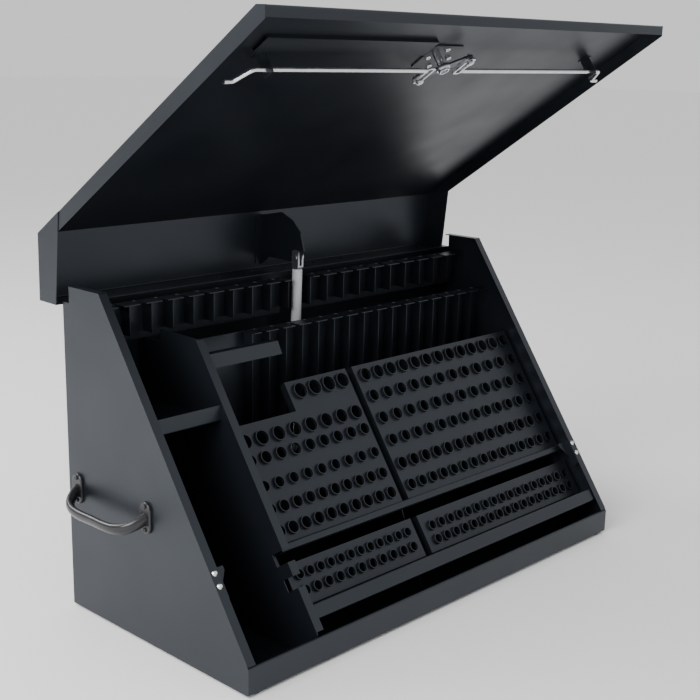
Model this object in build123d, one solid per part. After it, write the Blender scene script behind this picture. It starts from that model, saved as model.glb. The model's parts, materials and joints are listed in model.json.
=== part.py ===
"""A portable triangular tool chest of folded sheet steel, drawn with its lid open.

All sizes are in millimetres. The parts are drawn with x to the right, y from the front
face to the back and z up from the floor. They are moved at the very end, so that the
middle of the open chest's footprint is at the origin.
"""
import math
import os

from build123d import *

# Overall sizes of the chest
WIDTH = 914.0
DEPTH = 432.0
HEIGHT = 534.0
TOP_DEPTH = 95.0          # level part of the opening, at the back
LIP_HEIGHT = 47.0
FOOT_HEIGHT = 4.0
SHEET = 1.5
BEND = 2.5                # radius of the folds, to the middle of the sheet
FLANGE = 15.0             # inward flange round the opening
NOTCH_DEPTH = 17.0        # cut-out at the top rear corner, for the hinge
NOTCH_HEIGHT = 26.0

# Lid and hinge
LID_GAP = 9.4             # lid's outer face above the slanted opening
LID_OVERHANG = 6.0        # lid's side beyond the chest's side
LID_TOP_GAP = 5.5         # lid's outer face above the chest's top edge
LID_SKIRT = 4.0           # outer face of the rear skirt behind the chest
LID_FLANGE = 23.6         # depth of the flange along each side of the slanted panel
LID_NOSE = 16.0           # how far the folded front edge stands before the lip
LID_SWING = 89.0
HINGE_Y = DEPTH + 10.0
HINGE_Z = HEIGHT - 38.0
KNUCKLE_RADIUS = 3.6
HINGE_PIN_RADIUS = 1.5
KNUCKLE_PITCH = 44.0
KNUCKLE_COUNT = 20
LEAF = 1.2
FIT = 0.05                # radial clearance of a turning fit

# Divider, shelf and racks
DIVIDER_X = -318.0
SHELF_Y = 220.0
SHELF_Z = 334.0
SHELF_LIP = 26.0
DIVIDER_TOP = 455.0
DIVIDER_STEP = (370.0, 434.0)   # y and z of the corner cut away for the upper rack
RACK_SLOT = 11.0
RACK_FIN = 1.2
RACK_TOP_Y = 404.0        # front face of the upper rack's sheet
RACK_TOP_Z = 500.0
RACK_LOW_Y = 338.0        # front face of the lower rack's sheet
RACK_LOW_Z = 436.0
UPPER_REACH = 32.0        # how far each comb stands forward of its sheet
LOWER_REACH = 30.0
UPPER_DROP = 52.0         # how far each rack's fins hang below its comb
LOWER_DROP = 165.0
FIN_SHARE = 0.75          # depth of a fin as a share of its comb's reach
FIN_CORNER = 3.5          # clears the fold between comb and sheet
STRUT_GAP = 26.0          # half of the gap the upper racks leave for the strut

# Socket plates, in distance up the slanted opening and depth below it
PLATE_DEPTH = 34.0
COLLAR = 1.6
COLLAR_HEIGHT = 5.0
BANK_SPLIT_LEFT = -8.0
BANK_SPLIT_RIGHT = 8.0
PLATES_LEFT = -302.0
PLATES_RIGHT = 448.0

# Each row: distance up the slope, first x, last x, number of holes, hole diameter
LEFT_ROWS = (
    (322.0, -280.0, -28.0, 8, 23.0),
    (290.0, -284.0, -26.0, 9, 19.0),
    (246.0, -278.0, -26.0, 9, 17.0),
    (208.0, -284.0, -28.0, 10, 18.0),
    (172.0, -284.0, -28.0, 10, 19.0),
)
RIGHT_ROWS = (
    (382.0, 30.0, 425.0, 13, 22.0),
    (342.0, 28.0, 425.0, 12, 20.0),
    (300.0, 28.0, 425.0, 12, 20.0),
    (258.0, 28.0, 425.0, 13, 19.0),
    (214.0, 26.0, 428.0, 14, 20.0),
    (174.0, 26.0, 428.0, 15, 18.0),
)
TOP_ROW = ((382.0, -128.0, -28.0, 4, 25.0),)
LEFT_TRAY_ROWS = ((100.0, -280.0, -30.0, 12, 14.0), (74.0, -280.0, -30.0, 11, 15.0))
RIGHT_TRAY_ROWS = ((96.0, 32.0, 425.0, 17, 15.0), (71.0, 32.0, 425.0, 17, 15.0))

# Gas strut and its arm
ARM_THICKNESS = 3.0
PIN_OPEN_Y = 386.0
PIN_OPEN_Z = 536.0
ANCHOR_Y = 396.0
ANCHOR_Z = 180.0
STRUT_PIN_RADIUS = 4.0
CYLINDER_RADIUS = 9.0
CYLINDER_START = 20.0
CYLINDER_LENGTH = 190.0
PISTON_ROD_RADIUS = 4.0
BRACKET_BOLTS = ((-17.0, 14.0), (17.0, 14.0), (-17.0, -14.0), (17.0, -14.0))

# Latch, in distance up the slanted panel and depth below the lid's outer face
LATCH_X = -18.0
LATCH_S = 88.0
LATCH_ARM = 42.0
LATCH_TURN = 40.0
ROD_RADIUS = 3.5
ROD_DEPTH = 27.0
ROD_TIP_X = 435.0
ROD_TIP_S = 117.0
SHAFT_RADIUS = 6.0
GUIDE_X = 380.0
LATCH_SCREWS = ((-24.0, 0.0), (24.0, 0.0), (0.0, -22.0), (0.0, 22.0))
DIVIDER_NOTCHES = (       # from, to, depth: under the socket plates, and for the left rod
    (121.0, 141.0, 28.0),
    (LATCH_S - 8.0, LATCH_S + 11.0, 26.0),
)

# Side handles
HANDLE_Y = 316.5
HANDLE_Z = 210.0
HANDLE_SPAN = 177.0
HANDLE_REACH = 38.0
HANDLE_DROP = 20.0
HANDLE_SCREW_RISE = 18.5  # screws above and below the middle of an end plate
GRIP = (9.5, 6.5)         # half height and half thickness of the grip

SIDE = WIDTH / 2                       # outer face of each side panel
INNER = SIDE - SHEET
RUN = DEPTH - TOP_DEPTH
RISE = HEIGHT - LIP_HEIGHT
SLANT = math.hypot(RUN, RISE)
UP = (RUN / SLANT, RISE / SLANT)       # y and z of the way up the opening
OUT = (-RISE / SLANT, RUN / SLANT)     # y and z of the way out of it
HINGE_AXIS = Axis((0, HINGE_Y, HINGE_Z), (1, 0, 0))
LID_SIDE = SIDE + LID_OVERHANG
LEAF_RIVET_Z = HINGE_Z - 27.0
BUMPER_X = SIDE - 26.0
BUMPER_Z = 97.0
FLANGE_MIDDLE = SIDE - 8.0             # line of the keepers' rivets
KEEPER_RIVETS = (123.0, 143.0)         # distances up the opening


def evenly(first, last, count):
    """`count` evenly spaced values from `first` to `last`."""
    step = (last - first) / (count - 1)
    return [first + step * i for i in range(count)]


UPPER_SLOTS = evenly(STRUT_GAP + 22.0, INNER - 22.2, 10)
LOWER_SLOTS = evenly(-150.0, INNER - 25.2, 16)


def on_slant(distance, depth):
    """The (y, z) of a point: `distance` up the opening from the lip, `depth` below it."""
    y = distance * UP[0] - depth * OUT[0]
    z = LIP_HEIGHT + distance * UP[1] - depth * OUT[1]
    return y, z


def slant_plane(depth):
    """Plane parallel to the opening: x is right, y is up the slope, z is outward."""
    y, z = on_slant(0, depth)
    return Plane(origin=(0, y, z), x_dir=(1, 0, 0), z_dir=(0, OUT[0], OUT[1]))


LID_PLANE = slant_plane(-LID_GAP)


def swung(y, z, degrees):
    """The (y, z) of a point after it has turned about the hinge."""
    angle = math.radians(degrees)
    dy = y - HINGE_Y
    dz = z - HINGE_Z
    turned_y = HINGE_Y + dy * math.cos(angle) - dz * math.sin(angle)
    turned_z = HINGE_Z + dy * math.sin(angle) + dz * math.cos(angle)
    return turned_y, turned_z


# The lid's outer profile, lid closed: skirt foot, rear corner, bend, nose top, foot, tip
LID_TOP = HEIGHT + LID_TOP_GAP
LID_REAR = DEPTH + LID_SKIRT
LID_BEND_Y = ((LID_TOP - LIP_HEIGHT) * OUT[1] - LID_GAP) / -OUT[0]
NOSE_TOP_Z = LIP_HEIGHT + (LID_GAP + LID_NOSE * OUT[0]) / OUT[1]
NOSE_DROP = 16.8
SKIRT_FOOT = HINGE_Z - 2.0
LID_PROFILE = [
    (LID_REAR, SKIRT_FOOT),
    (LID_REAR, LID_TOP),
    (LID_BEND_Y, LID_TOP),
    (-LID_NOSE, NOSE_TOP_Z),
    (-LID_NOSE, NOSE_TOP_Z - NOSE_DROP),
    (-1.0, NOSE_TOP_Z - NOSE_DROP),
]

REARMOST = swung(*LID_PROFILE[1], -LID_SWING)[0]
FOREMOST = swung(*LID_PROFILE[4], -LID_SWING)[0]
CENTRE_Y = (REARMOST + FOREMOST) / 2


# ---------------------------------------------------------------- small tools

def block(x, y, z):
    """A box from its three (low, high) ranges."""
    size = [high - low for low, high in (x, y, z)]
    middle = [(high + low) / 2 for low, high in (x, y, z)]
    return Pos(*middle) * Box(*size)


def bar(start, direction, length, radius):
    """A round bar from `start` along `direction`."""
    return Part() + Solid.make_cylinder(radius, length, Plane(origin=start, z_dir=direction))


def prism(points, low, high):
    """A solid with the outline `points` (y, z) between two values of x."""
    outline = make_face(Polyline(*points, close=True))
    return extrude(Plane.YZ.offset(low) * outline, high - low, dir=(1, 0, 0))


def inset(points, distance):
    """Move an open line of points to its left by `distance`, with mitred corners."""
    moved = []
    for i, (y, z) in enumerate(points):
        normals = []
        for a, b in ((i - 1, i), (i, i + 1)):
            if a >= 0 and b < len(points):
                dy = points[b][0] - points[a][0]
                dz = points[b][1] - points[a][1]
                length = math.hypot(dy, dz)
                normals.append((-dz / length, dy / length))
        ny = sum(n[0] for n in normals) / len(normals)
        nz = sum(n[1] for n in normals) / len(normals)
        scale = distance / (ny * ny + nz * nz)
        moved.append((y + ny * scale, z + nz * scale))
    return moved


def folded(points, low, high, thickness=SHEET, radius=BEND):
    """A folded sheet whose middle line is `points` (y, z), between two values of x."""
    line = FilletPolyline(*points, radius=radius) if len(points) > 2 else Polyline(*points)
    return extrude(Plane.YZ.offset(low) * trace(line, thickness), high - low, dir=(1, 0, 0))


def rounded_plate(plane, width, length, thickness, corner):
    """A flat plate with round corners, standing on `plane` along its z."""
    return extrude(plane * RectangleRounded(width, length, corner), thickness)


def rivet(point, direction, grip, head=4.0, shank=2.0):
    """A domed rivet: the head stands on `point`, the shank runs back by `grip`."""
    place = Plane(origin=point, z_dir=direction)
    dome = Solid.make_cone(head, head * 0.6, head * 0.5, place)
    back = Solid.make_cylinder(shank, grip, Plane(origin=point, z_dir=[-d for d in direction]))
    return Part() + dome + back


def screw(point, direction, grip, head=4.5, shank=2.0):
    """A pan-head screw with a cross recess."""
    place = Plane(origin=point, z_dir=direction)
    cap = Part() + Solid.make_cylinder(head, 2.6, place)
    cap = fillet(cap.edges().sort_by_distance(place.origin + place.z_dir * 2.6)[0:1], 1.0)
    for turn in (0, 90):
        arm = Box(head * 1.1, 0.9, 3.0)
        cap -= place.location * Pos(0, 0, 2.6) * Rot(0, 0, turn) * arm
    back = Solid.make_cylinder(shank, grip, Plane(origin=point, z_dir=[-d for d in direction]))
    return cap + back


def mirrored(part):
    """The same part on the other side of the chest."""
    return mirror(part, about=Plane.YZ)


def opened(part):
    """A part of the closed lid, in its place on the open lid."""
    return part.rotate(HINGE_AXIS, -LID_SWING)


def save(name, part):
    """Write one part in the shared frame."""
    export_step(Pos(0, -CENTRE_Y, 0) * part, "parts/" + name + ".step")


# ---------------------------------------------------------------- chest shell

def base_pan():
    """Floor with the front lip and its hem, folded from one sheet."""
    half = SHEET / 2
    floor_z = FOOT_HEIGHT + half
    line = [
        (DEPTH - SHEET, floor_z),
        (half, floor_z),
        (half, LIP_HEIGHT - half),
        (5.0, LIP_HEIGHT - half),
        (5.0, LIP_HEIGHT - 9.0),
    ]
    pan = folded(line, -SIDE, SIDE, radius=1.4)
    for low, high in ((-SIDE - 1, -INNER), (INNER, SIDE + 1)):
        pan -= block((low, high), (SHEET, DEPTH), (0, LIP_HEIGHT))
    return pan


def side_outline():
    """Outline of a side panel."""
    return [
        (SHEET, FOOT_HEIGHT),
        (DEPTH, FOOT_HEIGHT),
        (DEPTH, HEIGHT - NOTCH_HEIGHT),
        (DEPTH - NOTCH_DEPTH, HEIGHT - NOTCH_HEIGHT),
        (DEPTH - NOTCH_DEPTH, HEIGHT),
        (RUN, HEIGHT),
        on_slant(6.0, 0),
        (SHEET, LIP_HEIGHT - 1.0),
    ]


def handle_screw_points():
    """The four screws of a side handle, as (y, z)."""
    points = []
    for y in (HANDLE_Y - HANDLE_SPAN / 2, HANDLE_Y + HANDLE_SPAN / 2):
        for z in (HANDLE_Z - HANDLE_SCREW_RISE, HANDLE_Z + HANDLE_SCREW_RISE):
            points.append((y, z))
    return points


def side_panel():
    """Left side: the triangular sheet with its inward flange round the opening."""
    panel = prism(side_outline(), -SIDE, -INNER)
    flange_line = [
        (DEPTH - NOTCH_DEPTH - 2.0, HEIGHT - SHEET / 2),
        (RUN + 0.4, HEIGHT - SHEET / 2),
        on_slant(2.0, SHEET / 2),
    ]
    panel += folded(flange_line, -INNER, -SIDE + FLANGE)
    for y, z in handle_screw_points():
        panel -= bar((-SIDE - 1, y, z), (1, 0, 0), 4, 2.0)
    for distance in KEEPER_RIVETS:
        y, z = on_slant(distance, -1)
        panel -= bar((-FLANGE_MIDDLE, y, z), (0, -OUT[0], -OUT[1]), 4, 2.0)
    panel = fillet(panel.edges().filter_by(Axis.X).group_by(Axis.Z)[0], 1.0)
    return panel


def hinge_rivet_xs():
    """Where the rivets of the hinge leaves are along x."""
    return evenly(-420.0, 420.0, 12)


def back_panel():
    """Back sheet with a forward flange at the top."""
    half = SHEET / 2
    line = [
        (DEPTH - half, FOOT_HEIGHT),
        (DEPTH - half, HEIGHT - NOTCH_HEIGHT - half),
        (DEPTH - NOTCH_DEPTH + 1.0, HEIGHT - NOTCH_HEIGHT - half),
    ]
    panel = folded(line, -INNER, INNER)
    for x in hinge_rivet_xs():
        panel -= bar((x, DEPTH - 5, LEAF_RIVET_Z), (0, 1, 0), 10, 1.8)
    for dx, dz in BRACKET_BOLTS:
        panel -= bar((dx, DEPTH - 5, ANCHOR_Z + dz), (0, 1, 0), 10, 2.0)
    for x in (-BUMPER_X, BUMPER_X):
        panel -= bar((x, DEPTH - 5, BUMPER_Z), (0, 1, 0), 10, 2.0)
    return panel


def divider_panel():
    """Upright sheet between the left bin and the socket side, with a front flange."""
    step_y, step_z = DIVIDER_STEP
    back_y = DEPTH - SHEET
    head = on_slant(495.0, 0.4)
    foot = on_slant(5.0, 0.4)
    outline = [
        (7.0, FOOT_HEIGHT + SHEET + 0.1),
        (back_y, FOOT_HEIGHT + SHEET),
        (back_y, step_z),
        (step_y, step_z),
        (step_y, DIVIDER_TOP),
        head,
        foot,
        (7.0, LIP_HEIGHT - 10.0),
    ]
    panel = prism(outline, DIVIDER_X, DIVIDER_X + SHEET)
    flange = slant_plane(0.4 + SHEET) * Pos(DIVIDER_X + FLANGE / 2, 250.0, SHEET / 2)
    panel += flange * Box(FLANGE, 482.0, SHEET)
    for low, high, depth in DIVIDER_NOTCHES:
        place = Pos(DIVIDER_X + 8.0, (low + high) / 2, (4.0 - depth) / 2)
        panel -= slant_plane(0).location * place * Box(40.0, high - low, 4.0 + depth)
    return panel


def feet():
    """Four rubber pads under the corners."""
    pads = Part()
    for x in (-SIDE + 22, SIDE - 22):
        for y in (21.0, DEPTH - 24.0):
            pad = Part() + Solid.make_cone(16.0, 17.5, FOOT_HEIGHT, Plane(origin=(x, y, 0)))
            pads += pad
    return pads


def rear_bumpers():
    """Two rubber buttons that keep the back off a wall."""
    buttons = Part()
    for x in (-BUMPER_X, BUMPER_X):
        place = Plane(origin=(x, DEPTH, BUMPER_Z), z_dir=(0, 1, 0))
        button = Part() + Solid.make_cone(12.0, 9.0, 8.0, place)
        button += bar((x, DEPTH, BUMPER_Z), (0, -1, 0), 6.0, 2.0)
        buttons += fillet(button.edges().group_by(Axis.Y)[-1], 2.0)
    return buttons


# ---------------------------------------------------------------- bin and racks

def bin_shelf():
    """Shelf with a front lip across the left bin."""
    half = SHEET / 2
    low = -INNER + 0.2
    high = DIVIDER_X - 0.2
    line = [
        (SHELF_Y + half, SHELF_Z + SHELF_LIP),
        (SHELF_Y + half, SHELF_Z + half),
        (DEPTH - SHEET - 1.0, SHELF_Z + half),
    ]
    return folded(line, low, high)


def rack(low, high, slots, back_y, top_z, reach, drop, ends):
    """A wrench rack: an upright sheet with a slotted comb folded forward at its top."""
    half = SHEET / 2
    line = [
        (back_y + half, top_z - drop - 12.0),
        (back_y + half, top_z - half),
        (back_y - reach, top_z - half),
    ]
    part = folded(line, low, high)
    for x in slots:
        part -= block((x - RACK_SLOT / 2, x + RACK_SLOT / 2), (-10, back_y - 8.0), (0, HEIGHT))
        part -= bar((x, back_y - 8.0, top_z - 5), (0, 0, 1), 10, RACK_SLOT / 2)
    for x, way in ends:
        span = sorted((x, x + way * SHEET))
        part += block(span, (back_y - reach, back_y + SHEET), (top_z - 40.0, top_z))
    return part


def fins(slots, back_y, top_z, reach, drop):
    """The separate upright fins that keep the wrench shanks of a rack apart."""
    low_z = top_z - drop
    high_z = top_z - SHEET
    front_y = back_y - reach * FIN_SHARE
    outline = [
        (back_y, low_z),
        (back_y, high_z - FIN_CORNER),
        (back_y - FIN_CORNER, high_z),
        (front_y, high_z),
        (front_y, low_z),
    ]
    pitch = slots[1] - slots[0]
    part = Part()
    for x in [slots[0] - pitch / 2] + [x + pitch / 2 for x in slots[:-1]]:
        part += prism(outline, x - RACK_FIN / 2, x + RACK_FIN / 2)
    return part


def upper_rack():
    """Right half of the upper rack, which leaves room for the strut in the middle."""
    low = STRUT_GAP
    high = INNER - 0.2
    part = rack(low, high, UPPER_SLOTS, RACK_TOP_Y, RACK_TOP_Z, UPPER_REACH, UPPER_DROP, ((high, -1),))
    foot = [(RACK_TOP_Y, RACK_TOP_Z - 46.0), (DEPTH - SHEET - 0.1, RACK_TOP_Z - 46.0)]
    part += folded(foot, low, low + 24.0)
    part += folded(foot, high - 24.0, high)
    return part


def lower_rack():
    """The long rack behind the socket plates."""
    low = DIVIDER_X + SHEET + 0.2
    high = INNER - 0.2
    ends = ((low, 1), (high, -1))
    part = rack(low, high, LOWER_SLOTS, RACK_LOW_Y, RACK_LOW_Z, LOWER_REACH, LOWER_DROP, ends)
    part -= block((low + SHEET, -172.0), (300.0, 334.0), (430.0, 440.0))
    return part


def upper_fins():
    """The fins of both halves of the upper rack."""
    right = fins(UPPER_SLOTS, RACK_TOP_Y, RACK_TOP_Z, UPPER_REACH, UPPER_DROP)
    return right + mirrored(right)


def lower_fins():
    """The tall fins of the lower rack."""
    return fins(LOWER_SLOTS, RACK_LOW_Y, RACK_LOW_Z, LOWER_REACH, LOWER_DROP)


def ratchet_rail():
    """Short bar at the top left of the socket side, with a slanting free end."""
    y = 266.0
    top = 429.0
    low = DIVIDER_X + FLANGE + 0.1
    outline = [(low, top - 24.0), (low + 155.0, top - 24.0), (low + 145.0, top), (low, top)]
    face = make_face(Polyline(*outline, close=True))
    rail = extrude(Plane.XZ.offset(-y) * face, -SHEET)
    rail += block((low, low + 145.0), (y, y + 14.0), (top - SHEET, top))
    tab_x = DIVIDER_X + SHEET + 0.1
    rail += block((tab_x, low + 1.0), (y + 12.5, y + 14.0), (top - 24.0, top))
    rail += block((low, low + SHEET), (y, y + 14.0), (top - 24.0, top))
    return rail


# ---------------------------------------------------------------- socket plates

def perforated(outline, rows, turned):
    """A plate on the socket plane with collared holes and turned-down edges.

    `outline` is a list of (x, distance); `turned` lists the (x, distance, width, length)
    of the turned-down edges.
    """
    plane = slant_plane(PLATE_DEPTH)
    plate = extrude(make_face(Polyline(*outline, close=True)), -SHEET, dir=(0, 0, 1))
    for x, distance, width, length in turned:
        plate += Pos(x, distance, -7.0) * Box(width, length, 14.0)
    collars = []
    bores = []
    for distance, first, last, count, diameter in rows:
        radius = diameter / 2
        for x in evenly(first, last, count):
            place = Pos(x, distance, COLLAR_HEIGHT / 2 - SHEET / 2)
            collars.append(place * Cylinder(radius + COLLAR, COLLAR_HEIGHT + SHEET))
            bores.append(place * Cylinder(radius, COLLAR_HEIGHT * 4))
    plate = plate + collars
    plate = plate - bores
    return plane.location * plate


def socket_plate_left():
    """Left socket plate, with a taller step at its inner end."""
    low, high = PLATES_LEFT, BANK_SPLIT_LEFT
    step = -152.0
    outline = [(low, 152), (high, 152), (high, 402), (step, 402), (step, 350), (low, 350)]
    turned = [
        ((low + high) / 2, 152.75, high - low, SHEET),
        (high - 0.75, 277.0, SHEET, 250.0),
        (low + 0.75, 251.0, SHEET, 198.0),
        (step + 0.75, 375.25, SHEET, 53.5),
        ((low + step) / 2, 349.25, step - low, SHEET),
    ]
    return perforated(outline, LEFT_ROWS + TOP_ROW, turned)


def socket_plate_right():
    """Right socket plate."""
    low, high = BANK_SPLIT_RIGHT, PLATES_RIGHT
    outline = [(low, 152), (high, 152), (high, 402), (low, 402)]
    turned = [
        ((low + high) / 2, 152.75, high - low, SHEET),
        (low + 0.75, 277.0, SHEET, 250.0),
        (high - 0.75, 277.0, SHEET, 250.0),
    ]
    return perforated(outline, RIGHT_ROWS, turned)


def socket_tray(low, high, rows):
    """One bank of the low socket tray, with two rows of small holes."""
    outline = [(low, 52), (high, 52), (high, 120), (low, 120)]
    turned = [
        ((low + high) / 2, 119.25, high - low, SHEET),
        (low + 0.75, 86.0, SHEET, 68.0),
        (high - 0.75, 86.0, SHEET, 68.0),
    ]
    return perforated(outline, rows, turned)


def upper_rail():
    """Rail along the foot of the socket plates."""
    line = [on_slant(150.5, PLATE_DEPTH + 8), on_slant(150.5, 22.0), on_slant(140.0, 22.0)]
    line.append(on_slant(140.0, PLATE_DEPTH + 8))
    return folded(line, PLATES_LEFT, PLATES_RIGHT + 6.0)


def lower_rail():
    """Box-shaped rail between the socket tray and the front trough."""
    line = [on_slant(49.0, 42.0), on_slant(49.0, 4.0), on_slant(27.0, 4.0), on_slant(27.0, 24.0)]
    return folded(line, PLATES_LEFT, PLATES_RIGHT + 6.0)


def support(low, high, web_x):
    """Sloping strip that the socket plates rest on, with an upright web about `web_x`."""
    plane = slant_plane(PLATE_DEPTH + 14.3)
    strip = Pos((low + high) / 2, 220.0, -SHEET / 2) * Box(high - low, 360.0, SHEET)
    web = Pos(web_x, 220.0, -9.0) * Box(SHEET, 360.0, 18.0)
    return plane.location * (strip + web)


def middle_rib():
    """Upright rib under the gap between the two socket plates."""
    outline = [
        (72.0, FOOT_HEIGHT + SHEET),
        (330.0, FOOT_HEIGHT + SHEET),
        (330.0, 200.0),
        on_slant(400.0, PLATE_DEPTH + 15.0),
        on_slant(150.0, PLATE_DEPTH + 15.0),
    ]
    rib = prism(outline, -SHEET / 2, SHEET / 2)
    ledge = slant_plane(PLATE_DEPTH + 14.3).location * Pos(0, 275.0, -0.35)
    return rib + ledge * Box(24.0, 250.0, 0.7)


# ---------------------------------------------------------------- handles

def side_handle():
    """Left handle: two oblong end plates and a bowed, drooping grip."""
    low = HANDLE_Y - HANDLE_SPAN / 2
    high = HANDLE_Y + HANDLE_SPAN / 2
    outer_x = -SIDE - HANDLE_REACH
    drop_z = HANDLE_Z - HANDLE_DROP
    points = [
        (-SIDE - 1.0, low, HANDLE_Z),
        (outer_x + 9.0, low + 17.0, drop_z + 5.0),
        (outer_x, HANDLE_Y, drop_z),
        (outer_x + 9.0, high - 17.0, drop_z + 5.0),
        (-SIDE - 1.0, high, HANDLE_Z),
    ]
    path = Spline(*points)
    section = Plane(origin=path @ 0, x_dir=(0, 0, 1), z_dir=path % 0) * Ellipse(*GRIP)
    handle = sweep(section, path=path)
    for y in (low, high):
        plane = Plane(origin=(-SIDE, y, HANDLE_Z), x_dir=(0, 1, 0), z_dir=(-1, 0, 0))
        plate = rounded_plate(plane, 25.0, 50.0, 5.0, 12.0)
        handle += fillet(plate.edges().group_by(Axis.X)[0], 2.5)
    handle -= block((-SIDE, SIDE), (0, DEPTH), (0, HEIGHT))
    for y, z in handle_screw_points():
        handle -= bar((-SIDE + 1, y, z), (-1, 0, 0), 9, 2.0)
    return handle


def handle_screws(way):
    """The four screws of one handle; `way` is -1 on the left and 1 on the right."""
    screws = Part()
    for y, z in handle_screw_points():
        screws += screw((way * (SIDE + 5.0), y, z), (way, 0, 0), 8.0, head=3.6)
    return screws


# ---------------------------------------------------------------- hinge

def knuckle_xs(odd):
    """Where the knuckles of one leaf start; the two leaves take turns."""
    start = -KNUCKLE_PITCH * KNUCKLE_COUNT / 2
    return [start + KNUCKLE_PITCH * i for i in range(KNUCKLE_COUNT) if i % 2 == odd]


def knuckles(odd, tab_line):
    """The rolled knuckles of a leaf with the tabs that carry them."""
    part = Part()
    for x in knuckle_xs(odd):
        low = x + 0.2
        high = x + KNUCKLE_PITCH - 0.2
        barrel = bar((low, HINGE_Y, HINGE_Z), (1, 0, 0), high - low, KNUCKLE_RADIUS)
        part += barrel + folded(tab_line, low, high, thickness=LEAF, radius=1.0)
    pin = bar((-SIDE, HINGE_Y, HINGE_Z), (1, 0, 0), WIDTH, HINGE_PIN_RADIUS + FIT)
    return part - pin


def hinge_leaf_chest():
    """Hinge leaf on the back of the chest."""
    plate_y = DEPTH + LEAF / 2
    length = KNUCKLE_PITCH * KNUCKLE_COUNT / 2
    plate = folded([(plate_y, HINGE_Z - 42), (plate_y, HINGE_Z - 12)], -length, length, LEAF)
    tab_y = HINGE_Y - KNUCKLE_RADIUS + LEAF / 2
    line = [(plate_y, HINGE_Z - 14), (plate_y, HINGE_Z - 11.5), (tab_y, HINGE_Z - 4)]
    line.append((tab_y, HINGE_Z))
    leaf = plate + knuckles(0, line)
    for x in hinge_rivet_xs():
        leaf -= bar((x, DEPTH - 5, LEAF_RIVET_Z), (0, 1, 0), 10, 1.8)
    return leaf


def hinge_leaf_lid():
    """Hinge leaf on the rear skirt of the lid, lid closed."""
    plate_y = LID_REAR + LEAF / 2
    length = KNUCKLE_PITCH * KNUCKLE_COUNT / 2
    plate = folded([(plate_y, HINGE_Z + 5.5), (plate_y, HINGE_Z + 36)], -length, length, LEAF)
    tab_y = HINGE_Y - KNUCKLE_RADIUS + LEAF / 2
    line = [(plate_y, HINGE_Z + 8), (plate_y, HINGE_Z + 5), (tab_y, HINGE_Z + 1.5)]
    line.append((tab_y, HINGE_Z - 0.5))
    leaf = plate + knuckles(1, line)
    for x in hinge_rivet_xs():
        leaf -= bar((x, LID_REAR - 5, HINGE_Z + 22.0), (0, 1, 0), 10, 1.8)
    return leaf


def hinge_pin():
    """The long pin through the knuckles."""
    length = KNUCKLE_PITCH * KNUCKLE_COUNT
    return bar((-length / 2, HINGE_Y, HINGE_Z), (1, 0, 0), length, HINGE_PIN_RADIUS)


def hinge_rivets_chest():
    """Rivets of the chest's hinge leaf."""
    rivets = Part()
    for x in hinge_rivet_xs():
        rivets += rivet((x, DEPTH + LEAF, LEAF_RIVET_Z), (0, 1, 0), 4.2, head=3.6, shank=1.8)
    return rivets


def hinge_rivets_lid():
    """Rivets of the lid's hinge leaf, lid closed."""
    rivets = Part()
    for x in hinge_rivet_xs():
        point = (x, LID_REAR + LEAF, HINGE_Z + 22.0)
        rivets += rivet(point, (0, 1, 0), 4.2, head=3.6, shank=1.8)
    return rivets


# ---------------------------------------------------------------- keepers

def keeper():
    """Left keeper: an angle under the flange that the bolt tip slides beneath."""
    foot_x = (-SIDE + 2.0, -SIDE + FLANGE + 0.5)
    part = block(foot_x, (103.0, 151.0), (-3.05, -1.55))
    web_x = (foot_x[1], foot_x[1] + SHEET)
    part += block(web_x, (103.0, 151.0), (-13.0, -1.55))
    part += block((web_x[0], -ROD_TIP_X - 1.6), (103.0, 151.0), (-13.0, -11.5))
    ear = [(web_x[0], 125), (web_x[0] + 6, 125), (web_x[0] + 19, 144), (web_x[0] + 19, 151)]
    ear.append((web_x[0], 151))
    ear_face = Pos(0, 0, -13.0) * make_face(Polyline(*ear, close=True))
    part += extrude(ear_face, 1.5, dir=(0, 0, 1))
    part = slant_plane(0).location * part
    for distance in KEEPER_RIVETS:
        y, z = on_slant(distance, -1)
        part -= bar((-FLANGE_MIDDLE, y, z), (0, -OUT[0], -OUT[1]), 6, 2.0)
    return part


def keeper_rivets():
    """Bright rivets that hold the two keepers."""
    rivets = Part()
    for x in (-FLANGE_MIDDLE, FLANGE_MIDDLE):
        for distance in KEEPER_RIVETS:
            y, z = on_slant(distance, 0)
            rivets += rivet((x, y, z), (0, OUT[0], OUT[1]), 4.4, head=4.6)
    return rivets


# ---------------------------------------------------------------- lid, drawn closed

def lid_flange_outline():
    """Outline of the flange down each side of the lid."""
    foot_y, foot_z = on_slant(0, LID_FLANGE - LID_GAP)
    slope = UP[1] / UP[0]
    tip_z = LID_PROFILE[5][1]
    tip_y = foot_y + (tip_z - foot_z) / slope
    top_y = foot_y + (SKIRT_FOOT + 2.0 - foot_z) / slope
    inner = [(top_y, SKIRT_FOOT + 2.0), (tip_y, tip_z)]
    return LID_PROFILE[:5] + inner[::-1]


def lid_skin():
    """Rear skirt, short top, long slanted panel, nose and both side flanges."""
    middle = inset(LID_PROFILE, SHEET / 2)
    skin = folded(middle, -LID_SIDE + SHEET, LID_SIDE - SHEET)
    outline = lid_flange_outline()
    skin += prism(outline, -LID_SIDE, -LID_SIDE + SHEET)
    skin += prism(outline, LID_SIDE - SHEET, LID_SIDE)
    shaft = LID_PLANE.location * Pos(LATCH_X, LATCH_S, -1) * Cylinder(SHAFT_RADIUS + 0.1, 10)
    skin -= shaft
    for x in hinge_rivet_xs():
        skin -= bar((x, LID_REAR - 5, HINGE_Z + 22.0), (0, 1, 0), 10, 1.8)
    return skin


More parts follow.
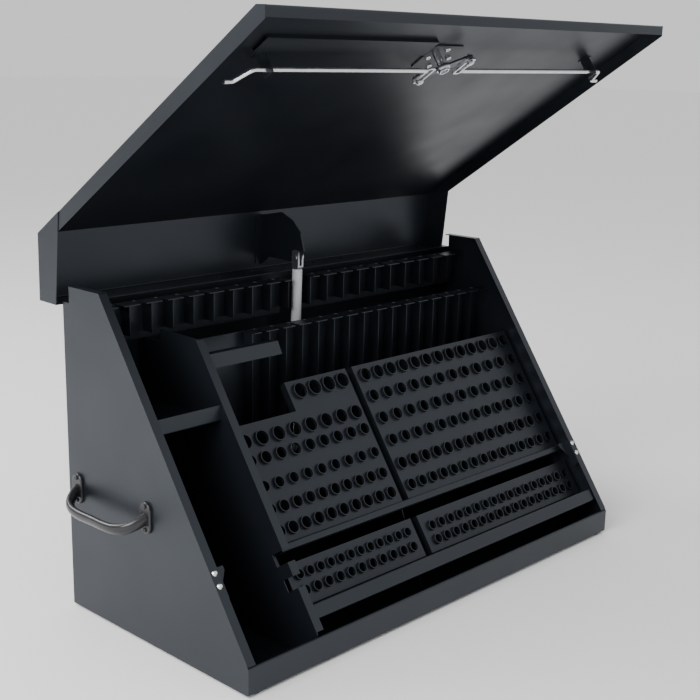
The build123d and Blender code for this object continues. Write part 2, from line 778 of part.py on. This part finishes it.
def lid_gusset():
    """Left stiffening plate at the bend of the lid."""
    reach = 71.0
    end = on_slant(SLANT - reach + 0.4, -LID_GAP)
    outline = [(LID_REAR, SKIRT_FOOT), (LID_REAR, LID_TOP), (LID_BEND_Y, LID_TOP), end]
    return prism(outline, -LID_SIDE - 1.2, -LID_SIDE)


def lid_stiffener():
    """Left half of the shallow channel inside the long panel."""
    rail = block((-402.0, -62.0), (44.0, 78.5), (-7.5, -1.5))
    rail -= block((-410.0, -50.0), (45.5, 77.0), (-6.0, 0.0))
    return LID_PLANE.location * rail


def rod_guide_xs():
    """Where the two guides stand along the latch rods, just inside the cranks."""
    return (-GUIDE_X, GUIDE_X)


def rod_guides():
    """Two small brackets that the rods slide through."""
    guides = Part()
    for x in rod_guide_xs():
        foot = block((x - 9, x + 9), (LATCH_S - 9, LATCH_S + 9), (-3.1, -1.6))
        post = block((x - 1, x + 1), (LATCH_S - 9, LATCH_S + 9), (-ROD_DEPTH - 8, -1.6))
        bore = Pos(x, LATCH_S, -ROD_DEPTH) * Rot(0, 90, 0) * Cylinder(ROD_RADIUS + 0.08, 20)
        guides += foot + post - bore
    return LID_PLANE.location * guides


def arm_outline():
    """Outline of the strut arm, lid closed."""
    pin_y, pin_z = swung(PIN_OPEN_Y, PIN_OPEN_Z, LID_SWING)
    inner_top = LID_TOP - SHEET
    return [
        (428.0, inner_top),
        (411.0, 515.0),
        (411.0, pin_z),
        (pin_y + 6.0, pin_z - 9.0),
        (pin_y - 3.0, pin_z - 11.0),
        (388.0, 424.0),
        (358.0, 434.0),
        (338.0, 455.0),
        (326.0, 485.0),
        (336.0, inner_top - 6.0),
        (336.0, inner_top),
    ]


def strut_arm():
    """Curved plate from the lid's short panel to the top of the strut."""
    half = ARM_THICKNESS / 2
    arm = prism(arm_outline(), -half, half)
    arm = fillet(arm.edges().filter_by(Axis.X).group_by(Axis.Z)[0], 4.0)
    inner_top = LID_TOP - SHEET
    arm += block((-14.0, 14.0), (340.0, 424.0), (inner_top - 2.0, inner_top))
    pin_y, pin_z = swung(PIN_OPEN_Y, PIN_OPEN_Z, LID_SWING)
    return arm - bar((-5, pin_y, pin_z), (1, 0, 0), 10, STRUT_PIN_RADIUS + FIT)


def latch_escutcheon():
    """Round plate under the outside handle."""
    ring = Pos(0, 0, 1.5) * Cylinder(31.0, 3.0)
    ring = fillet(ring.edges().group_by(Axis.Z)[-1], 1.2)
    ring -= Cylinder(SHAFT_RADIUS + 0.1, 20)
    return LID_PLANE.location * Pos(LATCH_X, LATCH_S, 0) * ring


def latch_plate():
    """Reinforcing plate inside the lid, behind the handle."""
    plate = Pos(0, 0, -2.5) * Box(70.0, 60.0, 2.0)
    plate = fillet(plate.edges().filter_by(Axis.Z), 6.0)
    plate -= Cylinder(SHAFT_RADIUS + 0.1, 20)
    for x, y in LATCH_SCREWS:
        plate -= Pos(x, y, 0) * Cylinder(2.0, 20)
    return LID_PLANE.location * Pos(LATCH_X, LATCH_S, 0) * plate


def latch_screws():
    """Screws of the reinforcing plate, heads inside."""
    plane = LID_PLANE
    screws = Part()
    for x, y in LATCH_SCREWS:
        point = plane.from_local_coords((LATCH_X + x, LATCH_S + y, -3.5))
        screws += screw(point, (0, -OUT[0], -OUT[1]), 1.9)
    return screws


# ---------------------------------------------------------------- latch mechanism

def latch_handle():
    """Outside T-handle with a hub for the lock plug."""
    hub = Pos(0, 0, 12.0) * Cylinder(15.0, 18.0)
    grip = Pos(0, 0, 16.0) * Box(96.0, 17.0, 10.0)
    grip = fillet(grip.edges().filter_by(Axis.Z), 7.5)
    grip = fillet(grip.edges().group_by(Axis.Z)[-1], 2.5)
    handle = hub + grip
    handle -= Pos(0, 0, 18.0) * Cylinder(8.0 + FIT, 12.5)
    return LID_PLANE.location * Pos(LATCH_X, LATCH_S, 0.3) * handle


def lock_plug():
    """Lock plug with a keyway, in the hub of the handle."""
    plug = Pos(0, 0, 16.9) * Cylinder(8.0, 9.8)
    plug -= Pos(0, 0, 20.5) * Box(1.6, 8.0, 4.0)
    return LID_PLANE.location * Pos(LATCH_X, LATCH_S, 0.3) * plug


def latch_shaft():
    """Shaft from the handle through the lid to the lever."""
    top = 3.3
    bottom = -23.6
    shaft = Pos(0, 0, (top + bottom) / 2) * Cylinder(SHAFT_RADIUS, top - bottom)
    return LID_PLANE.location * Pos(LATCH_X, LATCH_S, 0) * shaft


def latch_lever():
    """Two-armed lever on the shaft, drawn with the rods pulled in."""
    lever = Box(LATCH_ARM * 2, 16.0, 3.0)
    for x in (-LATCH_ARM, LATCH_ARM):
        lever += Pos(x, 0, 0) * Cylinder(8.0, 3.0)
    lever += Cylinder(13.0, 3.0)
    lever -= Cylinder(SHAFT_RADIUS, 20)
    for x in (-LATCH_ARM, LATCH_ARM):
        lever -= Pos(x, 0, 0) * Cylinder(3.0, 20)
    turn = Rot(0, 0, -LATCH_TURN)
    return LID_PLANE.location * Pos(LATCH_X, LATCH_S, -ROD_DEPTH + 4.9) * turn * lever


def lever_pins():
    """Bolts at the lever's ends, with washers under their heads."""
    pins = Part()
    for x in (-LATCH_ARM, LATCH_ARM):
        pin = Pos(x, 0, -4.0) * Cylinder(3.0, 14.0)
        pin += Pos(x, 0, -8.6) * Cylinder(6.2, 1.2)
        pin += Pos(x, 0, -10.6) * extrude(RegularPolygon(5.4, 6), 3.4)
        pin += Pos(x, 0, 3.0) * Cylinder(5.0, 3.0 - FIT)
        pins += pin
    turn = Rot(0, 0, -LATCH_TURN)
    return LID_PLANE.location * Pos(LATCH_X, LATCH_S, -ROD_DEPTH + 4.9) * turn * pins


def shaft_nut():
    """Nut that holds the lever on the shaft."""
    nut = extrude(RegularPolygon(9.0, 6), 5.0)
    nut -= Cylinder(SHAFT_RADIUS, 20)
    nut += Pos(0, 0, 0.5) * (Cylinder(11.0, 1.0) - Cylinder(SHAFT_RADIUS, 4))
    bottom = -ROD_DEPTH + 3.35
    return LID_PLANE.location * Pos(LATCH_X, LATCH_S, bottom) * Rot(180, 0, 0) * nut


def latch_rod(way):
    """One rod with its slotted inner end and cranked tip; `way` is -1 or 1."""
    reach = LATCH_ARM * math.cos(math.radians(LATCH_TURN))
    rise = LATCH_ARM * math.sin(math.radians(LATCH_TURN))
    inner_x = LATCH_X + way * reach
    start_x = inner_x + way * 8.6
    points = [
        (start_x, LATCH_S),
        (way * 405.0, LATCH_S),
        (way * 420.0, ROD_TIP_S),
        (way * ROD_TIP_X, ROD_TIP_S),
    ]
    path = FilletPolyline(*points, radius=7.0)
    section = Plane(origin=path @ 0, z_dir=path % 0) * Circle(ROD_RADIUS)
    rod = sweep(section, path=path)
    middle_s = LATCH_S - way * rise / 2
    plate = Pos(inner_x + way * 1.2, middle_s, 0) * Box(16.4, rise + 15.0, 3.0)
    plate = fillet(plate.edges().filter_by(Axis.Z), 5.0)
    slot = Pos(inner_x + way * 1.2, middle_s, 0) * Box(9.6, rise + 8.0, 8.0)
    slot = fillet(slot.edges().filter_by(Axis.Z), 3.0)
    return LID_PLANE.location * Pos(0, 0, -ROD_DEPTH) * (rod + plate - slot)


# ---------------------------------------------------------------- gas strut

STRUT_DY = ANCHOR_Y - PIN_OPEN_Y
STRUT_DZ = ANCHOR_Z - PIN_OPEN_Z
STRUT_LENGTH = math.hypot(STRUT_DY, STRUT_DZ)
STRUT_PLANE = Plane(
    origin=(0, PIN_OPEN_Y, PIN_OPEN_Z),
    x_dir=(1, 0, 0),
    z_dir=(0, STRUT_DY / STRUT_LENGTH, STRUT_DZ / STRUT_LENGTH),
)


def strut_clevis():
    """Fork at the top of the strut, on both sides of the arm."""
    fork = Pos(0, 0, 4.0) * Box(13.0, 16.0, 34.0)
    fork = fillet(fork.edges().filter_by(Axis.X), 5.0)
    fork -= Pos(0, 0, -0.2) * Box(ARM_THICKNESS + 2.4, 30.0, 30.0)
    fork -= Rot(0, 90, 0) * Cylinder(STRUT_PIN_RADIUS, 30)
    return STRUT_PLANE.location * fork


def strut_top_pin():
    """Pin through the fork and the arm."""
    pin = Rot(0, 90, 0) * Cylinder(STRUT_PIN_RADIUS, 15.0)
    for x in (-8.5, 8.5):
        pin += Pos(x, 0, 0) * Rot(0, 90, 0) * Cylinder(6.0, 2.0)
    return STRUT_PLANE.location * pin


def strut_cylinder():
    """Tube of the gas strut, with a bore for the rod."""
    tube = Pos(0, 0, CYLINDER_START + 1.0) * Cylinder(
        CYLINDER_RADIUS, CYLINDER_LENGTH, align=(Align.CENTER, Align.CENTER, Align.MIN))
    tube = fillet(tube.edges(), 2.0)
    bore = Pos(0, 0, CYLINDER_START + 9.0) * Cylinder(
        PISTON_ROD_RADIUS + FIT, CYLINDER_LENGTH, align=(Align.CENTER, Align.CENTER, Align.MIN))
    return STRUT_PLANE.location * (tube - bore)


def strut_rod():
    """Piston rod."""
    start = CYLINDER_START + CYLINDER_LENGTH - 70.0
    rod = Pos(0, 0, start) * Cylinder(
        PISTON_ROD_RADIUS, STRUT_LENGTH - start - 9.0,
        align=(Align.CENTER, Align.CENTER, Align.MIN))
    return STRUT_PLANE.location * rod


def strut_rod_end():
    """Eye at the foot of the rod, with its cross pin."""
    eye = Pos(0, 0, STRUT_LENGTH - 2.0) * Box(10.0, 16.0, 20.0)
    eye = fillet(eye.edges().filter_by(Axis.X), 6.0)
    eye += Pos(0, 0, STRUT_LENGTH - 16.0) * Cylinder(6.0, 10.0)
    bore = Pos(0, 0, STRUT_LENGTH - 16.0) * Cylinder(PISTON_ROD_RADIUS, 14.0)
    eye -= bore
    eye += Pos(0, 0, STRUT_LENGTH) * Rot(0, 90, 0) * Cylinder(STRUT_PIN_RADIUS, 22.0)
    return STRUT_PLANE.location * eye


def strut_bracket():
    """Bracket on the back panel with two ears, notched at the front for the cross pin."""
    back_y = DEPTH - SHEET
    part = block((-26.0, 26.0), (back_y - 2.0, back_y), (ANCHOR_Z - 24.0, ANCHOR_Z + 24.0))
    ear = [
        (back_y - 1.0, ANCHOR_Z - 20.0),
        (ANCHOR_Y - 8.0, ANCHOR_Z - 16.0),
        (ANCHOR_Y - 8.0, ANCHOR_Z - 9.0),
        (ANCHOR_Y + 4.5, ANCHOR_Z - 9.0),
        (ANCHOR_Y + 4.5, ANCHOR_Z + 5.0),
        (ANCHOR_Y - 8.0, ANCHOR_Z + 5.0),
        (ANCHOR_Y - 8.0, ANCHOR_Z + 13.0),
        (back_y - 1.0, ANCHOR_Z + 20.0),
    ]
    for x in (-8.5, 6.0):
        part += prism(ear, x, x + 2.5)
    for dx, dz in BRACKET_BOLTS:
        part -= bar((dx, DEPTH - 6, ANCHOR_Z + dz), (0, 1, 0), 10, 2.0)
    return part


def bracket_screws():
    """Screws of the strut bracket."""
    screws = Part()
    for dx, dz in BRACKET_BOLTS:
        screws += screw((dx, DEPTH - SHEET - 2.0, ANCHOR_Z + dz), (0, -1, 0), 4.5, head=3.8)
    return screws


# ---------------------------------------------------------------- all parts

CHEST_PARTS = {
    "base_pan": base_pan,
    "back_panel": back_panel,
    "divider_panel": divider_panel,
    "feet": feet,
    "rear_bumpers": rear_bumpers,
    "bin_shelf": bin_shelf,
    "wrench_rack_lower": lower_rack,
    "ratchet_rail": ratchet_rail,
    "socket_plate_left": socket_plate_left,
    "socket_plate_right": socket_plate_right,
    "upper_rail": upper_rail,
    "lower_rail": lower_rail,
    "middle_rib": middle_rib,
    "wrench_fins_lower": lower_fins,
    "wrench_fins_upper": upper_fins,
    "hinge_leaf_chest": hinge_leaf_chest,
    "hinge_pin": hinge_pin,
    "hinge_rivets_chest": hinge_rivets_chest,
    "keeper_rivets": keeper_rivets,
    "strut_bracket": strut_bracket,
    "bracket_screws": bracket_screws,
}

LID_PARTS = {
    "lid_skin": lid_skin,
    "hinge_leaf_lid": hinge_leaf_lid,
    "hinge_rivets_lid": hinge_rivets_lid,
    "lid_stiffener": lid_stiffener,
    "rod_guides": rod_guides,
    "strut_arm": strut_arm,
    "latch_escutcheon": latch_escutcheon,
    "latch_plate": latch_plate,
    "latch_screws": latch_screws,
    "latch_handle": latch_handle,
    "lock_plug": lock_plug,
    "latch_shaft": latch_shaft,
    "latch_lever": latch_lever,
    "lever_pins": lever_pins,
    "shaft_nut": shaft_nut,
}

STRUT_PARTS = {
    "strut_clevis": strut_clevis,
    "strut_top_pin": strut_top_pin,
    "strut_cylinder": strut_cylinder,
    "strut_rod": strut_rod,
    "strut_rod_end": strut_rod_end,
}


def main():
    os.makedirs("parts", exist_ok=True)
    for name, build in CHEST_PARTS.items():
        save(name, build())
    for name, build in LID_PARTS.items():
        save(name, opened(build()))
    for name, build in STRUT_PARTS.items():
        save(name, build())
    for name, build in (("side_panel", side_panel), ("side_handle", side_handle),
                        ("keeper", keeper), ("wrench_rack_upper", upper_rack)):
        part = build()
        on_right = name == "wrench_rack_upper"
        save(name + ("_right" if on_right else "_left"), part)
        save(name + ("_left" if on_right else "_right"), mirrored(part))
    gusset = opened(lid_gusset())
    save("lid_gusset_left", gusset)
    save("lid_gusset_right", mirrored(gusset))
    for side, way in (("left", -1), ("right", 1)):
        save("latch_rod_" + side, opened(latch_rod(way)))
        save("handle_screws_" + side, handle_screws(way))
    save("socket_tray_left", socket_tray(PLATES_LEFT, BANK_SPLIT_LEFT, LEFT_TRAY_ROWS))
    save("socket_tray_right", socket_tray(BANK_SPLIT_RIGHT, PLATES_RIGHT, RIGHT_TRAY_ROWS))
    low = DIVIDER_X + SHEET + 0.1
    high = DIVIDER_X + 22.0
    save("support_left", support(low, high, high - SHEET / 2))
    low = INNER - 20.0
    save("support_right", support(low, INNER - 0.1, low + SHEET / 2))


main()
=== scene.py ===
"""The looks of the bench-top tool chest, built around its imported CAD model. Metres, in the CAD's frame."""

import json
import math

import bpy
from mathutils import Matrix, Vector

# The camera: where it stands, the way it looks, and its picture.
CAMERA_PLACE = (-1.5073, -1.4164, 0.8929)
CAMERA_AZIMUTH = -46.587
CAMERA_ELEVATION = 14.142
CAMERA_ROLL = 1.215
CAMERA_LENS = 63.74
CAMERA_SENSOR = 36.0
CAMERA_SHIFT = (-0.01137, 0.01916)

# The studio.
FLOOR_SIZE = 60.0
FLOOR_COLOUR = (0.95, 0.95, 0.95)
FLOOR_ROUGHNESS = 0.6
FLOOR_SPECULAR = 0.2
WORLD_COLOUR = (1.0, 1.0, 1.0)
WORLD_STRENGTH = 0.90
LIGHTS = (
    # name, place, looks at, width, height, watts
    ("key", (-3.6, -0.6, 2.4), (0.0, 0.0, 0.3), 2.4, 2.4, 165.0),
    ("fill", (2.4, -3.4, 2.4), (0.0, 0.0, 0.3), 2.0, 2.0, 3.0),
    ("rim", (-1.6, 2.6, 2.4), (0.0, 0.0, 0.5), 2.0, 1.2, 70.0),
)

# The finish of each surface: its base colour and, where it is one number, its roughness.
POWDER_COLOUR = (0.0060, 0.0072, 0.0095)
# A bluish tint on the coat's reflections stands in for bluish light around it: painted reflection colour.
PAINTED_BLUE_REFLECTION_TINT = (0.77, 0.87, 1.0)
POWDER_ROUGHNESS = 0.36
ZINC_COLOUR = (0.74, 0.75, 0.76)
CHROME_COLOUR = (0.82, 0.83, 0.85)
STEEL_COLOUR = (0.42, 0.43, 0.44)
# The strut's light grey stands in for the bright reflection along the strut cylinder: painted reflection.
STRUT_PAINTED_REFLECTION_COLOUR = (0.50, 0.51, 0.53)
SCREW_COLOUR = (0.03, 0.03, 0.033)
DARK_STEEL_COLOUR = (0.13, 0.13, 0.155)
PLASTIC_COLOUR = (0.011, 0.011, 0.013)
RUBBER_COLOUR = (0.016, 0.016, 0.016)
STRUT_ROUGHNESS = 0.34
SCREW_ROUGHNESS = 0.32
PLASTIC_ROUGHNESS = 0.22
RUBBER_ROUGHNESS = 0.72

# The textures, in grains to the metre.
SPECKLE_GRAINS = 1500.0
PEEL_GRAINS = 420.0
GLOSS_GRAINS = 9.0
DRAWN_GRAINS = 900.0
PATCH_GRAINS = 60.0
DRIFT_GRAINS = 30.0
PLASTIC_GRAINS = 1300.0
RUBBER_GRAINS = 1700.0

# The rounding that every cut edge gets, in metres.
EDGE_ROUNDING = 0.0004
EDGE_ANGLE = 35.0


def camera():
    """The camera at the photograph's viewing angle."""
    azimuth = math.radians(CAMERA_AZIMUTH)
    elevation = math.radians(CAMERA_ELEVATION)
    roll = math.radians(CAMERA_ROLL)
    flat = math.cos(elevation)
    back = Vector((math.sin(azimuth) * flat, -math.cos(azimuth) * flat, math.sin(elevation)))
    right = (-back).cross(Vector((0, 0, 1))).normalized()
    up = right.cross(-back)
    turned_right = math.cos(roll) * right + math.sin(roll) * up
    turned_up = math.cos(roll) * up - math.sin(roll) * right
    data = bpy.data.cameras.new("camera")
    data.sensor_width = CAMERA_SENSOR
    data.lens = CAMERA_LENS
    data.shift_x, data.shift_y = CAMERA_SHIFT
    data.clip_end = 100.0
    made = bpy.data.objects.new("camera", data)
    bpy.context.scene.collection.objects.link(made)
    columns = Matrix((turned_right, turned_up, back)).transposed()
    made.matrix_world = Matrix.Translation(CAMERA_PLACE) @ columns.to_4x4()
    bpy.context.scene.camera = made


def studio():
    """A pale floor, a white surround and three soft lights."""
    bpy.ops.mesh.primitive_plane_add(size=FLOOR_SIZE)
    floor = bpy.context.object
    floor.name = "floor"
    finish, shader, _ = blank("floor_white", FLOOR_COLOUR, FLOOR_ROUGHNESS, 0.0)
    shader.inputs["Specular IOR Level"].default_value = FLOOR_SPECULAR
    floor.data.materials.append(finish)
    world = bpy.context.scene.world or bpy.data.worlds.new("world")
    bpy.context.scene.world = world
    world.use_nodes = True
    sky = world.node_tree.nodes["Background"]
    sky.inputs["Color"].default_value = (*WORLD_COLOUR, 1.0)
    sky.inputs["Strength"].default_value = WORLD_STRENGTH
    for name, place, target, width, height, watts in LIGHTS:
        data = bpy.data.lights.new(name, "AREA")
        data.shape = "RECTANGLE"
        data.size = width
        data.size_y = height
        data.energy = watts
        lamp = bpy.data.objects.new(name, data)
        bpy.context.scene.collection.objects.link(lamp)
        lamp.location = place
        aim = Vector(target) - Vector(place)
        lamp.rotation_euler = aim.to_track_quat("-Z", "Y").to_euler()


def blank(name, colour, roughness, metallic):
    """A material, its shader and its node tree, with no texture yet."""
    made = bpy.data.materials.new(name)
    made.use_nodes = True
    tree = made.node_tree
    shader = tree.nodes["Principled BSDF"]
    shader.inputs["Base Color"].default_value = (*colour, 1.0)
    shader.inputs["Roughness"].default_value = roughness
    shader.inputs["Metallic"].default_value = metallic
    return made, shader, tree


def noise(tree, scale, detail=3.0, stretch=(1.0, 1.0, 1.0)):
    """A noise texture in the frame's metres, `scale` grains to the metre."""
    place = tree.nodes.new("ShaderNodeTexCoord")
    fit = tree.nodes.new("ShaderNodeMapping")
    fit.inputs["Scale"].default_value = stretch
    grain = tree.nodes.new("ShaderNodeTexNoise")
    grain.inputs["Scale"].default_value = scale
    grain.inputs["Detail"].default_value = detail
    tree.links.new(place.outputs["Object"], fit.inputs["Vector"])
    tree.links.new(fit.outputs["Vector"], grain.inputs["Vector"])
    return grain.outputs["Fac"]


def between(tree, amount, low, high):
    """`amount` from 0 to 1, spread between two values."""
    spread = tree.nodes.new("ShaderNodeMapRange")
    spread.inputs["From Min"].default_value = 0.3
    spread.inputs["From Max"].default_value = 0.7
    spread.inputs["To Min"].default_value = low
    spread.inputs["To Max"].default_value = high
    tree.links.new(amount, spread.inputs["Value"])
    return spread.outputs["Result"]


def shaded(tree, shader, amount, colour, change):
    """The base colour drifts by `change` each way with `amount`."""
    ramp = tree.nodes.new("ShaderNodeValToRGB")
    ramp.color_ramp.elements[0].position = 0.3
    ramp.color_ramp.elements[1].position = 0.7
    ramp.color_ramp.elements[0].color = (*(part * (1 - change) for part in colour), 1.0)
    ramp.color_ramp.elements[1].color = (*(part * (1 + change) for part in colour), 1.0)
    tree.links.new(amount, ramp.inputs["Fac"])
    tree.links.new(ramp.outputs["Color"], shader.inputs["Base Color"])


def bumpy(tree, shader, heights):
    """Adds (height output, depth in metres, strength) bumps, one after the other."""
    normal = None
    for amount, depth, strength in heights:
        bump = tree.nodes.new("ShaderNodeBump")
        bump.inputs["Distance"].default_value = depth
        bump.inputs["Strength"].default_value = strength
        tree.links.new(amount, bump.inputs["Height"])
        if normal is not None:
            tree.links.new(normal, bump.inputs["Normal"])
        normal = bump.outputs["Normal"]
    tree.links.new(normal, shader.inputs["Normal"])


def powder_coat(name, colour, roughness):
    """Satin powder coat: fine orange peel, a long wave in the gloss, faint speckle."""
    made, shader, tree = blank(name, colour, roughness, 0.0)
    # The bluish specular tint stands in for bluish surrounding light: painted reflection colour.
    shader.inputs["Specular Tint"].default_value = (*PAINTED_BLUE_REFLECTION_TINT, 1.0)
    speckle = noise(tree, SPECKLE_GRAINS, 2.0)
    peel = noise(tree, PEEL_GRAINS, 3.0)
    wave = noise(tree, GLOSS_GRAINS, 2.0)
    shaded(tree, shader, speckle, colour, 0.22)
    gloss = between(tree, wave, roughness - 0.04, roughness + 0.05)
    tree.links.new(gloss, shader.inputs["Roughness"])
    bumpy(tree, shader, ((peel, 0.00006, 0.55), (speckle, 0.00003, 0.4)))
    return made


def bright_metal(name, colour, low, high, stretch):
    """Plated or drawn metal: grain along its length and patches of duller plate."""
    made, shader, tree = blank(name, colour, low, 1.0)
    drawn = noise(tree, DRAWN_GRAINS, 3.0, stretch)
    patch = noise(tree, PATCH_GRAINS, 3.0)
    shaded(tree, shader, patch, colour, 0.06)
    tree.links.new(between(tree, drawn, low, high), shader.inputs["Roughness"])
    bumpy(tree, shader, ((drawn, 0.00002, 0.35),))
    return made


def moulded(name, colour, roughness, grain_scale, grain_depth):
    """Moulded plastic or rubber with a fine spark-eroded grain."""
    made, shader, tree = blank(name, colour, roughness, 0.0)
    grain = noise(tree, grain_scale, 2.0)
    drift = noise(tree, DRIFT_GRAINS, 2.0)
    shaded(tree, shader, drift, colour, 0.12)
    gloss = between(tree, grain, roughness - 0.05, roughness + 0.07)
    tree.links.new(gloss, shader.inputs["Roughness"])
    bumpy(tree, shader, ((grain, grain_depth, 0.5),))
    return made


def finishes():
    """One material for each of the record's slots."""
    along_x = (0.05, 1.0, 1.0)
    along_z = (1.0, 1.0, 0.05)
    even = (1.0, 1.0, 1.0)
    return {
        "black_powder": powder_coat("powder_coat", POWDER_COLOUR, POWDER_ROUGHNESS),
        # The strut's grey is a painted reflection, not the cylinder's own colour.
        "grey_paint": powder_coat("strut_paint", STRUT_PAINTED_REFLECTION_COLOUR, STRUT_ROUGHNESS),
        "zinc": bright_metal("zinc_plate", ZINC_COLOUR, 0.16, 0.28, along_x),
        "chrome": bright_metal("chrome_plate", CHROME_COLOUR, 0.05, 0.12, even),
        "steel": bright_metal("plain_steel", STEEL_COLOUR, 0.28, 0.42, along_z),
        "dark_steel": bright_metal("dark_steel", DARK_STEEL_COLOUR, 0.30, 0.42, even),
        "black_screw": powder_coat("black_oxide", SCREW_COLOUR, SCREW_ROUGHNESS),
        "handle_plastic": moulded("handle_plastic", PLASTIC_COLOUR, PLASTIC_ROUGHNESS, PLASTIC_GRAINS, 0.00002),
        "rubber": moulded("rubber", RUBBER_COLOUR, RUBBER_ROUGHNESS, RUBBER_GRAINS, 0.00005),
    }


def dress(frame):
    """Gives every CAD node its finish and rounds its cut edges."""
    made = finishes()
    slots = {part["node"]: part["material_slot"] for part in frame["record"]["subparts"]}
    for name, node in frame["nodes"].items():
        finish = made[slots[name]]
        if not node.data.materials:
            node.data.materials.append(finish)
        for index in range(len(node.material_slots)):
            node.material_slots[index].material = finish
        rounding = node.modifiers.new("edges", "BEVEL")
        rounding.width = EDGE_ROUNDING
        rounding.segments = 2
        rounding.limit_method = "ANGLE"
        rounding.angle_limit = math.radians(EDGE_ANGLE)
        rounding.harden_normals = True


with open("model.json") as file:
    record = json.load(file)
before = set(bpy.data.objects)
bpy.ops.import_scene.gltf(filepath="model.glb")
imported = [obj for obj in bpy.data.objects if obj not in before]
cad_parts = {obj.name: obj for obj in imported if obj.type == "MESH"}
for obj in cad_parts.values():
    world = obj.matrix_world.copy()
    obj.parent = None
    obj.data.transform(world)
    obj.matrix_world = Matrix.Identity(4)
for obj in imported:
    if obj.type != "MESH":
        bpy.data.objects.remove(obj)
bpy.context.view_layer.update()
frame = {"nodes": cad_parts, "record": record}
camera()
studio()
dress(frame)
